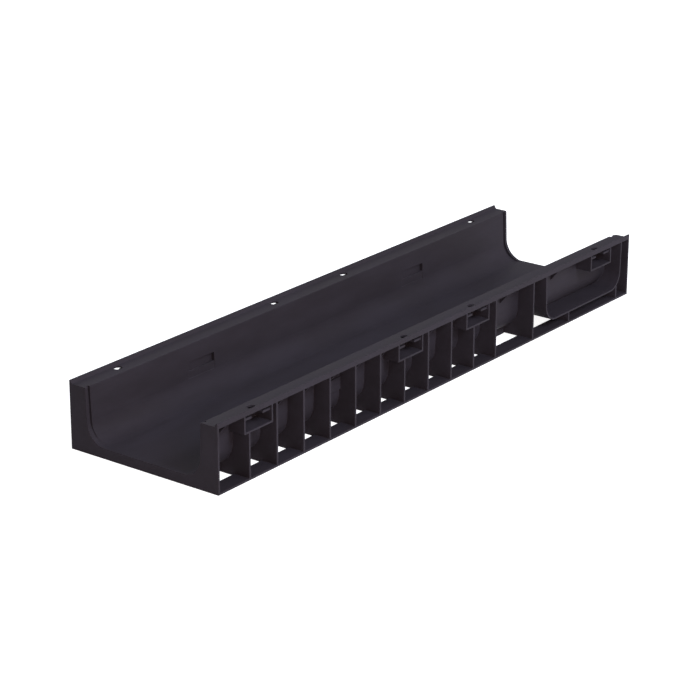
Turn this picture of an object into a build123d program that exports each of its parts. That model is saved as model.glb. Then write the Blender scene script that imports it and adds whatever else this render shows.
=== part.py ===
from build123d import *
import math
import os

os.makedirs("parts", exist_ok=True)

# A shallow drainage channel moulded in one piece, open at both ends.
# X runs along the channel, Y across it and Z up from the middle of its base. Sizes in millimetres.
length = 1000.0
width = 258.0
height = 99.0

# Skin of the moulding
wall = 2.5
rib_thickness = 3.0
end_plate = 3.0

# Trough
floor_height = 15.0          # channel floor above the base
corner_radius = 30.0         # between floor and side wall, inside
wall_lean = 2.15             # draft of the side walls, degrees off upright

# Rim and the ledge that a grating rests on
shelf_width = 28.4           # outer face to the inner edge of the ledge
seat_depth = 5.0             # rim top down to the ledge
rim_width = 2.0              # flat top of the rim
rim_slope_run = 3.0          # steep inner face of the rim, seen from above
rim_round = 0.5
rim_toe_round = 2.0
ledge_round = 1.0

# Foot strips along both sides
foot_width = 26.0
foot_thickness = 3.0

# Cross ribs, placed from the left end
first_rib = 63.7             # left end to the first rib
rib_pitch = 56.6             # wanted spacing of the close ribs
wide_gap = 99.8              # last close rib to the rib before the side outlet
outlet_rib_gap = 32.8        # that rib to the side outlet's frame
under_rib_reach = 41.4       # side outlet's middle back to the rib below it
last_rib = 34.1              # right end to the last rib
short_rib_gap = 2.0          # base up to the ribs beside and below the side outlet

# Stiffening webs along the underside of the floor
keel_reach = 76.5            # middle of the channel to the outer face of a web

# Knock-out frame of the side outlet
outlet_middle = 129.5        # right end to the middle of the frame
outlet_width = 216.4         # outside, at ledge level
outlet_sill = 2.0            # channel floor up to the underside of the frame
outlet_radius = 27.0         # outside corners

# Lock pockets under the rim, two for each half-length grating
lock_inset = 82.5            # end of each grating to its lock
pocket_width = 58.5          # outside
pocket_depth = 25.0          # underside of the ledge down to the underside of the pocket
tab_length = 15.5
tab_thickness = 3.0
tab_drop = 4.5               # underside of the ledge to the top of a tab
tab_setback = 2.5            # outer face to the front of a tab
slot_length = 13.0
slot_width = 12.0
slot_inset = 12.0            # outer face to the middle of the slot

# Joints with the next channel: a groove at the left end, a rebate at the right end
groove_start = 4.7           # left end to the groove
groove_width = 4.5
groove_depth = 3.0
rebate_length = 15.0
rebate_depth = 4.0

# Notches in the side walls for a locking bar
notch_length = 55.0
notch_offset = 16.0          # quarter point of the length to the middle of the notch
notch_drop = 26.0            # ledge down to the top of the notch
panel_height = 24.0
panel_depth = 0.5
notch_height = 13.0
notch_start = 1.0            # depth at the shallow end
notch_depth = 5.0            # depth at the stop

# Places worked out from the sizes above
left_end = -length / 2
right_end = length / 2
side = width / 2
seat = height - seat_depth
ledge_under = seat - wall
seat_edge = side - shelf_width
rim_foot = side - rim_width - rim_slope_run
lean = math.tan(math.radians(wall_lean))
inner_reach = seat_edge - corner_radius


def u_section(half_width, low, top, radius):
    # Half of a U-shaped outline with leaning sides, half_width out at ledge level
    foot = half_width - (seat - low) * lean
    head = half_width + (top - seat) * lean
    with BuildSketch() as section:
        with BuildLine():
            Polyline((0, top), (0, low), (foot, low), (head, top), close=True)
        make_face()
        corner = section.vertices().group_by(Axis.Y)[0].sort_by(Axis.X)[-1]
        fillet(corner, radius)
    return section.sketch


def trough_section(skin, top, step=0, radius=corner_radius):
    # The trough's inside, widened by step at the walls and set outwards by the thickness skin
    reach = step + skin / math.cos(math.radians(wall_lean))
    return u_section(seat_edge + reach, floor_height - skin, top, radius + skin)


def along(places, reach):
    # Section planes set back by reach from each place along the channel
    return [Plane.YZ.offset(x - reach) for x in places]


trough_hollow = trough_section(0, height + wall)
trough_outside = trough_section(wall, seat)
groove_radius = corner_radius + groove_depth
groove_outside = trough_section(wall, seat, groove_depth, groove_radius)
groove_section = trough_section(0, height + wall, groove_depth, groove_radius)
rebate_outside = trough_section(wall, seat, rebate_depth)
rebate_section = trough_section(0, height + wall, rebate_depth)

with BuildSketch() as flange:
    with BuildLine():
        Polyline(
            (seat_edge - wall, ledge_under),
            (side, ledge_under),
            (side, height),
            (side - rim_width, height),
            (rim_foot, seat),
            (seat_edge - wall, seat),
            close=True,
        )
    make_face()
    fillet(flange.vertices().sort_by_distance((rim_foot, seat))[0], rim_toe_round)
    fillet(flange.vertices().group_by(Axis.Y)[-1], rim_round)

outlet_half = outlet_width / 2
outlet_low = floor_height + outlet_sill
with BuildSketch() as outlet_outside:
    add(u_section(outlet_half, outlet_low, seat, outlet_radius))
    mirror(about=Plane.YZ)
with BuildSketch() as outlet_inside:
    add(u_section(outlet_half - wall, outlet_low + wall, seat, outlet_radius - wall))
    mirror(about=Plane.YZ)

# Rib places along the channel
outlet_x = right_end - outlet_middle
outlet_rib = outlet_x - outlet_half - outlet_rib_gap
close_start = left_end + first_rib
close_end = outlet_rib - wide_gap
close_gaps = max(round((close_end - close_start) / rib_pitch), 1)
full_ribs = [close_start + (close_end - close_start) * i / close_gaps for i in range(close_gaps + 1)]
full_ribs += [right_end - last_rib]
short_ribs = [outlet_rib, outlet_x - under_rib_reach]

lock_places = [left_end + lock_inset, -lock_inset, lock_inset, right_end - lock_inset]
tab_reach = pocket_width / 2 - wall
pocket_reach = side - inner_reach

notch_places = [left_end / 2 - notch_offset, right_end / 2 - notch_offset]
notch_top = seat - notch_drop
notch_low = notch_top - notch_height
notch_face = seat_edge - notch_drop * lean


def notch_plan(skin, root):
    # Lock notches seen from above: wedges that deepen towards their stops, set out by skin
    start = -notch_length / 2 - skin
    stop = notch_length / 2 + skin
    with BuildSketch() as plan:
        with BuildLine():
            Polyline(
                (start, root),
                (stop, root),
                (stop, notch_face + notch_depth + skin),
                (start, notch_face + notch_start + skin),
                close=True,
            )
        make_face()
    with BuildSketch() as plans:
        with Locations(*[(x, 0) for x in notch_places]):
            add(plan.sketch)
    return plans.sketch


with BuildPart() as notch_bosses:
    with BuildSketch(Plane.XY.offset(notch_low - wall)):
        add(notch_plan(wall, seat_edge))
    extrude(amount=notch_height + 2 * wall)

with BuildPart() as notch_hollows:
    with BuildSketch(*along(notch_places, notch_length / 2)):
        add(trough_section(panel_depth, seat))
        with Locations((0, notch_top)):
            Rectangle(width, panel_height, align=(Align.CENTER, Align.MAX), mode=Mode.INTERSECT)
    extrude(amount=notch_length)
    with BuildSketch(Plane.XY.offset(notch_low)):
        add(notch_plan(0, inner_reach))
    extrude(amount=notch_height)

with BuildPart() as channel_body:
    # Foot strip, end plates and cross ribs of one side
    with BuildSketch(Plane.YZ.offset(left_end)):
        with Locations((side, 0)):
            Rectangle(foot_width, foot_thickness, align=(Align.MAX, Align.MIN))
    extrude(amount=length)
    with BuildSketch(Plane.YZ.offset(left_end), Plane.YZ.offset(right_end - end_plate)):
        Rectangle(side, seat, align=(Align.MIN, Align.MIN))
    extrude(amount=end_plate)
    with BuildSketch(*along(full_ribs, rib_thickness / 2)):
        Rectangle(side, ledge_under, align=(Align.MIN, Align.MIN))
    extrude(amount=rib_thickness)
    with BuildSketch(*along(short_ribs, rib_thickness / 2)):
        with Locations((0, short_rib_gap)):
            Rectangle(side, ledge_under - short_rib_gap, align=(Align.MIN, Align.MIN))
    extrude(amount=rib_thickness)

    # Web along the underside of the floor
    with BuildSketch(Plane.YZ.offset(left_end)):
        with Locations((keel_reach, 0)):
            Rectangle(wall, floor_height, align=(Align.MAX, Align.MIN))
    extrude(amount=outlet_rib - left_end)

    # Knock-out frame, standing out from the side wall, clear of ribs inside
    with BuildSketch(Plane.XZ.offset(-side)):
        with Locations((outlet_x, 0)):
            add(outlet_outside.sketch)
    extrude(amount=pocket_reach)
    with BuildSketch(Plane.XZ.offset(-side)):
        with Locations((outlet_x, 0)):
            add(outlet_inside.sketch)
    extrude(amount=pocket_reach, mode=Mode.SUBTRACT)

    # Lock pockets hung under the rim, open at the outer face
    with BuildSketch(*along(lock_places, pocket_width / 2)):
        with Locations((side, ledge_under)):
            Rectangle(pocket_reach, pocket_depth, align=(Align.MAX, Align.MAX))
    extrude(amount=pocket_width)
    with BuildSketch(*along(lock_places, tab_reach)):
        with Locations((side, ledge_under)):
            Rectangle(pocket_reach, pocket_depth - wall, align=(Align.MAX, Align.MAX))
    extrude(amount=2 * tab_reach, mode=Mode.SUBTRACT)
    tab_starts = along(lock_places, tab_reach) + along(lock_places, tab_length - tab_reach)
    with BuildSketch(*tab_starts):
        with Locations((side - tab_setback, ledge_under - tab_drop)):
            Rectangle(pocket_reach - tab_setback, tab_thickness, align=(Align.MAX, Align.MAX))
    extrude(amount=tab_length)

    # Trough wall, floor and flange along the whole run, set out at the ends for the joints
    with BuildSketch(Plane.YZ.offset(left_end)):
        add(trough_outside)
        add(flange.sketch)
    extrude(amount=length)
    with BuildSketch(Plane.YZ.offset(left_end)):
        add(groove_outside)
    extrude(amount=groove_start + groove_width + wall)
    with BuildSketch(Plane.YZ.offset(right_end)):
        add(rebate_outside)
    extrude(amount=-(rebate_length + wall))

    # Hollow of the trough and the rounded inner edge of the ledge
    with BuildSketch(Plane.YZ.offset(left_end)):
        add(trough_hollow)
    extrude(amount=length, mode=Mode.SUBTRACT)
    ledge_edge = channel_body.edges().filter_by(Axis.X).sort_by_distance((0, seat_edge, seat))[0]
    fillet(ledge_edge, ledge_round)

    # Joint groove and rebate, fading out at the floor
    with BuildSketch(Plane.YZ.offset(left_end + groove_start)):
        add(groove_section)
    extrude(amount=groove_width, mode=Mode.SUBTRACT)
    with BuildSketch(Plane.YZ.offset(right_end)):
        add(rebate_section)
    extrude(amount=-rebate_length, mode=Mode.SUBTRACT)

    # Slots through the ledge into the lock pockets
    with BuildSketch(Plane.XY.offset(height)):
        with Locations(*[(x, side - slot_inset) for x in lock_places]):
            SlotOverall(slot_length, slot_width)
    extrude(amount=-(height - ledge_under + tab_drop), mode=Mode.SUBTRACT)

    # The other side is the mirror image
    mirror(about=Plane.XZ)

    # Lock notches, turned round by half a turn for the other side
    with PolarLocations(0, 2):
        add(notch_bosses.part)
    with PolarLocations(0, 2):
        add(notch_hollows.part, mode=Mode.SUBTRACT)

channel_body.part.label = "channel_body"
export_step(channel_body.part, "parts/channel_body.step")
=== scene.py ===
import math

import bpy
from mathutils import Matrix, Vector


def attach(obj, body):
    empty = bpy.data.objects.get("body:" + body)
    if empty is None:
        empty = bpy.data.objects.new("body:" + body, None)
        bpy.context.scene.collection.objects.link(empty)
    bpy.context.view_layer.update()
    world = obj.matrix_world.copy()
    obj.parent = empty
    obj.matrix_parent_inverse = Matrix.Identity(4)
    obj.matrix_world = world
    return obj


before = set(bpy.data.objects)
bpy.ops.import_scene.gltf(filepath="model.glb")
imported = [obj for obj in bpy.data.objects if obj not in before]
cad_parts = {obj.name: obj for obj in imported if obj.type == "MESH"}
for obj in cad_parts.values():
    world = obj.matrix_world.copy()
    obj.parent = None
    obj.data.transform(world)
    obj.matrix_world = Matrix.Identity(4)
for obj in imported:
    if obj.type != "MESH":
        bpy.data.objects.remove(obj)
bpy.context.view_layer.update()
print("frame loaded")


def toLinear(hexColor):
    # sRGB hex to linear RGBA
    parts = [int(hexColor[i:i + 2], 16) / 255 for i in (1, 3, 5)]
    return tuple(c / 12.92 if c <= 0.04045 else ((c + 0.055) / 1.055) ** 2.4 for c in parts) + (1.0,)


def addNode(tree, kind, settings=None, links=None):
    # One node with its settings and the sockets that feed it
    node = tree.nodes.new(kind)
    for name, value in (settings or {}).items():
        if name in node.inputs:
            node.inputs[name].default_value = value
        else:
            setattr(node, name, value)
    for name, source in (links or {}).items():
        tree.links.new(source, node.inputs[name])
    return node


def newMaterial(name):
    material = bpy.data.materials.new(name)
    material.use_nodes = True
    material.node_tree.nodes.clear()
    return material


def seenDirectly(tree):
    # 1 for rays of the camera, of gloss and through glass, 0 for light that falls on things
    path = addNode(tree, "ShaderNodeLightPath")
    seen = path.outputs["Is Camera Ray"]
    for name in ("Is Glossy Ray", "Is Transmission Ray"):
        larger = addNode(tree, "ShaderNodeMath", {"operation": "MAXIMUM"})
        tree.links.new(seen, larger.inputs[0])
        tree.links.new(path.outputs[name], larger.inputs[1])
        seen = larger.outputs["Value"]
    return seen


mm = 0.001
smoothAngle = math.radians(35)      # edges that turn by more stay crisp


def addBlock(low, high):
    # Cube stretched between two corners, with its place in its mesh
    bpy.ops.object.select_all(action="DESELECT")
    middle = [(a + b) / 2 for a, b in zip(low, high)]
    bpy.ops.mesh.primitive_cube_add(size=1, location=middle, scale=[b - a for a, b in zip(low, high)])
    bpy.ops.object.transform_apply(location=True, rotation=True, scale=True)
    return bpy.context.object


def selectVertices(piece, chosen):
    # Leaves the piece in edit mode with only the chosen vertices selected
    bpy.ops.object.mode_set(mode="EDIT")
    bpy.ops.mesh.select_mode(type="VERT")
    bpy.ops.mesh.select_all(action="DESELECT")
    bpy.ops.object.mode_set(mode="OBJECT")
    for vertex in piece.data.vertices:
        vertex.select = chosen(vertex.co)
    bpy.ops.object.mode_set(mode="EDIT")


# Polypropylene, black, injection moulded in a spark-eroded tool: a dry satin skin with a fine grain,
# slightly cloudy where the melt flowed, and paler where edges have rubbed in handling
polypropylene = {
    "color": "#343036",
    "flowColor": "#39353C",
    "rubbedColor": "#524E56",
    "ior": 1.49,
    "specular": 0.05,           # the grain scatters most of the shine
    "roughness": 0.6,
    "roughnessSpread": (-0.05, 0.07),
    "grain": 1.1 * mm,          # real grain 0.2 mm, drawn coarser so that it shows
    "grainHeight": 0.05 * mm,
    "grainStrength": 0.5,
    "flowWidth": 38 * mm,
    "flowStretch": 3.5,         # flow marks run along the channel
    "flowFade": (0.4, 0.62),    # noise levels between which the cloudy tone comes in
    "edgeRadius": 0.6 * mm,
    "edgeTurn": (0.99, 0.8),    # cosines of the normal's turn where rubbing starts and is full
    "edgeRub": 0.7,
}


def blackPolypropylene(s):
    material = newMaterial("polypropyleneMoulded")
    tree = material.node_tree
    coords = addNode(tree, "ShaderNodeTexCoord").outputs["Object"]
    along = addNode(tree, "ShaderNodeMapping", {"Scale": (1 / s["flowStretch"], 1, 1)}, {"Vector": coords})
    flow = addNode(tree, "ShaderNodeTexNoise",
                   {"Scale": 1 / s["flowWidth"], "Detail": 4.0, "Roughness": 0.55},
                   {"Vector": along.outputs["Vector"]})
    grain = addNode(tree, "ShaderNodeTexNoise",
                    {"Scale": 1 / s["grain"], "Detail": 2.0, "Roughness": 0.6}, {"Vector": coords})

    # Edges rub paler: the softened normal turns away from the flat one there
    softened = addNode(tree, "ShaderNodeBevel", {"samples": 6, "Radius": s["edgeRadius"]})
    geometry = addNode(tree, "ShaderNodeNewGeometry")
    turned = addNode(tree, "ShaderNodeVectorMath", {"operation": "DOT_PRODUCT"})
    tree.links.new(softened.outputs["Normal"], turned.inputs[0])
    tree.links.new(geometry.outputs["Normal"], turned.inputs[1])
    edge = addNode(tree, "ShaderNodeMapRange",
                   {"From Min": s["edgeTurn"][0], "From Max": s["edgeTurn"][1], "To Max": s["edgeRub"]},
                   {"Value": turned.outputs["Value"]})
    patchy = addNode(tree, "ShaderNodeMapRange",
                     {"From Min": s["flowFade"][0], "From Max": s["flowFade"][1]},
                     {"Value": flow.outputs["Fac"]})
    rubbed = addNode(tree, "ShaderNodeMath", {"operation": "MULTIPLY"})
    tree.links.new(edge.outputs["Result"], rubbed.inputs[0])
    tree.links.new(patchy.outputs["Result"], rubbed.inputs[1])

    tone = addNode(tree, "ShaderNodeMix", {"data_type": "RGBA"})
    tone.inputs[6].default_value = toLinear(s["color"])
    tone.inputs[7].default_value = toLinear(s["flowColor"])
    tree.links.new(patchy.outputs["Result"], tone.inputs[0])
    skin = addNode(tree, "ShaderNodeMix", {"data_type": "RGBA"})
    skin.inputs[7].default_value = toLinear(s["rubbedColor"])
    tree.links.new(rubbed.outputs["Value"], skin.inputs[0])
    tree.links.new(tone.outputs[2], skin.inputs[6])

    smoother, rougher = (s["roughness"] + change for change in s["roughnessSpread"])
    dull = addNode(tree, "ShaderNodeMapRange",
                   {"From Min": 0.3, "From Max": 0.7, "To Min": smoother, "To Max": rougher},
                   {"Value": flow.outputs["Fac"]})
    bump = addNode(tree, "ShaderNodeBump",
                   {"Strength": s["grainStrength"], "Distance": s["grainHeight"]},
                   {"Height": grain.outputs["Fac"], "Normal": softened.outputs["Normal"]})
    shader = addNode(tree, "ShaderNodeBsdfPrincipled",
                     {"IOR": s["ior"], "Specular IOR Level": s["specular"]},
                     {"Base Color": skin.outputs[2], "Roughness": dull.outputs["Result"],
                      "Normal": bump.outputs["Normal"]})
    addNode(tree, "ShaderNodeOutputMaterial", None, {"Surface": shader.outputs["BSDF"]})
    return material


plastic = blackPolypropylene(polypropylene)
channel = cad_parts["channel_body"]
channel.data.materials.clear()
channel.data.materials.append(plastic)
print("channel dressed")


# Gussets under the ledge, one at the middle of each gap that no lock pocket fills
ledgeGussets = {
    "firstGap": -351.4 * mm,              # middle of the first gap of the close row that has one
    "pitch": 56.6 * mm,
    "gaps": (0, 1, 2, 3, 4, 6, 7),        # the gap left out holds a lock pocket
    "others": (-467.4 * mm, 179.6 * mm, 317.6 * mm),      # end gap, wide gap and outlet frame
    "thickness": 2.5 * mm,
    "tip": (-122.8 * mm, 91.5 * mm),      # y and z where the sloping edge meets the ledge
    "toe": (-102.1 * mm, 67.0 * mm),      # y and z where it meets the side wall
    "sunk": 1.0 * mm,                     # into the ledge and the wall
    "rounding": 0.3 * mm,
}


def buildGussets(s):
    tipY, tipZ = s["tip"]
    toeY, toeZ = s["toe"]
    places = sorted([s["firstGap"] + s["pitch"] * i for i in s["gaps"]] + list(s["others"]))
    half = s["thickness"] / 2
    plate = addBlock((places[0] - half, tipY - s["sunk"], toeZ - s["sunk"]),
                     (places[0] + half, toeY + s["sunk"], tipZ + s["sunk"]))
    bpy.ops.object.mode_set(mode="EDIT")
    bpy.ops.mesh.select_all(action="SELECT")
    bpy.ops.mesh.bisect(plane_co=(0, tipY, tipZ), plane_no=(0, toeZ - tipZ, tipY - toeY),
                        use_fill=True, clear_outer=True)
    bpy.ops.mesh.select_all(action="SELECT")
    bpy.ops.mesh.bevel(offset=s["rounding"], segments=2, affect="EDGES")
    bpy.ops.mesh.normals_make_consistent(inside=False)
    bpy.ops.object.mode_set(mode="OBJECT")
    plates = [plate]
    for place in places[1:]:
        copy = plate.copy()
        copy.data = plate.data.copy()
        copy.location.x = place - places[0]
        bpy.context.collection.objects.link(copy)
        plates.append(copy)
    for each in plates:
        each.select_set(True)
    bpy.context.view_layer.objects.active = plate
    bpy.ops.object.join()
    bpy.ops.object.transform_apply(location=True, rotation=True, scale=True)
    otherSide = plate.modifiers.new("otherSide", "MIRROR")
    otherSide.use_axis = (False, True, False)
    otherSide.use_mirror_merge = False
    bpy.ops.object.modifier_apply(modifier="otherSide")
    bpy.ops.object.shade_smooth_by_angle(angle=smoothAngle)
    return plate


gussets = buildGussets(ledgeGussets)
gussets.name = "ledgeGussets"
gussets.data.materials.append(plastic)
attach(gussets, "root")
print("gussets added")


# Bead round the inside of the right end, in the rebate that takes the next channel's end
rebateBead = {
    "start": 493.0 * mm,
    "end": 498.2 * mm,
    "top": 93.6 * mm,
    "outer": {"half": 105.0 * mm, "low": 14.2 * mm, "corner": 29 * mm},      # sunk in the rebate
    "inner": {"half": 102.2 * mm, "low": 14.8 * mm, "corner": 33 * mm},      # runs out under the floor
    "ledge": 94.0 * mm,                      # height at which half the width is taken
    "lean": math.tan(math.radians(2.15)),    # the side walls' draft
    "steps": 20,                             # round each corner
}


def leaningBlock(s, section, start, end, top):
    # Block with a U-shaped section: sides that lean out and rounded lower corners
    foot = section["half"] - (s["ledge"] - section["low"]) * s["lean"]
    head = section["half"] + (top - s["ledge"]) * s["lean"]
    block = addBlock((start, -foot, section["low"]), (end, foot, top))
    selectVertices(block, lambda place: place.z > top - mm)
    bpy.ops.transform.resize(value=(1, head / foot, 1), center_override=((start + end) / 2, 0, top))
    bpy.ops.mesh.select_mode(type="EDGE")
    bpy.ops.mesh.select_all(action="DESELECT")
    bpy.ops.object.mode_set(mode="OBJECT")
    for edge in block.data.edges:
        ends = [block.data.vertices[i].co for i in edge.vertices]
        edge.select = max(v.z for v in ends) < section["low"] + mm and abs(ends[0].y - ends[1].y) < mm
    bpy.ops.object.mode_set(mode="EDIT")
    bpy.ops.mesh.bevel(offset=section["corner"], segments=s["steps"], affect="EDGES")
    bpy.ops.mesh.select_mode(type="VERT")
    bpy.ops.object.mode_set(mode="OBJECT")
    return block


def buildRebateBead(s):
    spare = 2 * mm      # by which the core passes the bead on all sides but below
    core = leaningBlock(s, s["inner"], s["start"] - spare, s["end"] + spare, s["top"] + spare)
    bead = leaningBlock(s, s["outer"], s["start"], s["end"], s["top"])
    hollow = bead.modifiers.new("hollow", "BOOLEAN")
    hollow.operation = "DIFFERENCE"
    hollow.solver = "EXACT"
    hollow.object = core
    bpy.ops.object.modifier_apply(modifier="hollow")
    bpy.data.objects.remove(core)
    bpy.ops.object.shade_smooth_by_angle(angle=smoothAngle)
    return bead


bead = buildRebateBead(rebateBead)
bead.name = "rebateBead"
bead.data.materials.append(plastic)
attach(bead, "root")
print("bead added")


# Pale studio floor, matt painted board; it reads as white and keeps the channel's soft shadow
studioFloor = {
    "size": 40.0,
    "drop": 0.5 * mm,          # below the foot strips
    "color": "#F4F4F4",
    "lift": 0.9,               # added where the board is seen, not where it lights things
}


def paleBoard(s):
    material = newMaterial("paintedBoardMatt")
    tree = material.node_tree
    paint = addNode(tree, "ShaderNodeBsdfDiffuse", {"Color": toLinear(s["color"])})
    strength = addNode(tree, "ShaderNodeMapRange", {"To Max": s["lift"]}, {"Value": seenDirectly(tree)})
    lift = addNode(tree, "ShaderNodeEmission", None, {"Strength": strength.outputs["Result"]})
    both = addNode(tree, "ShaderNodeAddShader")
    tree.links.new(paint.outputs["BSDF"], both.inputs[0])
    tree.links.new(lift.outputs["Emission"], both.inputs[1])
    addNode(tree, "ShaderNodeOutputMaterial", None, {"Surface": both.outputs["Shader"]})
    return material


bpy.ops.object.select_all(action="DESELECT")
bpy.ops.mesh.primitive_plane_add(size=studioFloor["size"], location=(0, 0, -studioFloor["drop"]))
floor = bpy.context.object
floor.name = "studioFloor"
bpy.ops.object.transform_apply(location=True, rotation=True, scale=True)
floor.data.materials.append(paleBoard(studioFloor))
print("floor laid")


# White surround: full white where it is seen, dimmer as a light
surround = {"fill": 0.05, "seen": 1.0}

world = bpy.data.worlds.new("studioSurround")
bpy.context.scene.world = world
world.use_nodes = True
air = world.node_tree
air.nodes.clear()
level = addNode(air, "ShaderNodeMapRange", {"To Min": surround["fill"], "To Max": surround["seen"]},
                {"Value": seenDirectly(air)})
glow = addNode(air, "ShaderNodeBackground", {"Color": (1, 1, 1, 1)}, {"Strength": level.outputs["Result"]})
addNode(air, "ShaderNodeOutputWorld", None, {"Surface": glow.outputs["Background"]})

# Soft boxes: place, point looked at, side of the box in metres, watts, colour
softBoxes = {
    "keyFront": {"at": (-0.54, -2.82, 2.43), "to": (0.05, -0.05, 0.05),
                 "size": 1.2, "power": 78, "color": "#EAF1FF"},
    "warmLeft": {"at": (-2.35, -2.65, 1.15), "to": (0.05, -0.05, 0.05),
                 "size": 1.4, "power": 39, "color": "#FFE3D4"},
    "lowRight": {"at": (2.36, -2.80, 0.95), "to": (0.05, 0.0, 0.05),
                 "size": 1.6, "power": 38, "color": "#FFFFFF"},
    "topFill": {"at": (0.2, 0.3, 3.4), "to": (0, 0, 0),
                "size": 2.4, "power": 26, "color": "#EEF2FF"},
    "backFill": {"at": (0.9, 3.2, 0.9), "to": (0, 0, 0.05),
                 "size": 1.6, "power": 24, "color": "#FFFFFF"},
}
for name, s in softBoxes.items():
    lamp = bpy.data.lights.new(name, "AREA")
    lamp.shape = "SQUARE"
    lamp.size = s["size"]
    lamp.energy = s["power"]
    lamp.color = toLinear(s["color"])[:3]
    lampObject = bpy.data.objects.new(name, lamp)
    bpy.context.collection.objects.link(lampObject)
    lampObject.location = s["at"]
    lampObject.rotation_euler = (Vector(s["to"]) - Vector(s["at"])).to_track_quat("-Z", "Y").to_euler()
print("studio lit")


# Camera where the photograph was taken from, worked out from the channel's straight edges
photoCamera = {
    "place": (-2.68448, -2.0110, 1.27017),
    "azimuth": -52.6,
    "elevation": 20.397,
    "roll": 0.06,
    "lens": 125.94,
}


def viewMatrix(s):
    a, e, r = (math.radians(s[key]) for key in ("azimuth", "elevation", "roll"))
    back = Vector((math.sin(a) * math.cos(e), -math.cos(a) * math.cos(e), math.sin(e)))
    right = Vector((0, 0, 1)).cross(back).normalized()
    up = back.cross(right)
    turnedRight = right * math.cos(r) + up * math.sin(r)
    turnedUp = up * math.cos(r) - right * math.sin(r)
    matrix = Matrix((turnedRight, turnedUp, back)).transposed().to_4x4()
    matrix.translation = Vector(s["place"])
    return matrix


cameraData = bpy.data.cameras.new("photoCamera")
cameraData.sensor_width = 36
cameraData.lens = photoCamera["lens"]
camera = bpy.data.objects.new("photoCamera", cameraData)
bpy.context.collection.objects.link(camera)
camera.matrix_world = viewMatrix(photoCamera)
bpy.context.scene.camera = camera
bpy.context.scene.view_settings.view_transform = "Standard"
print("camera set")
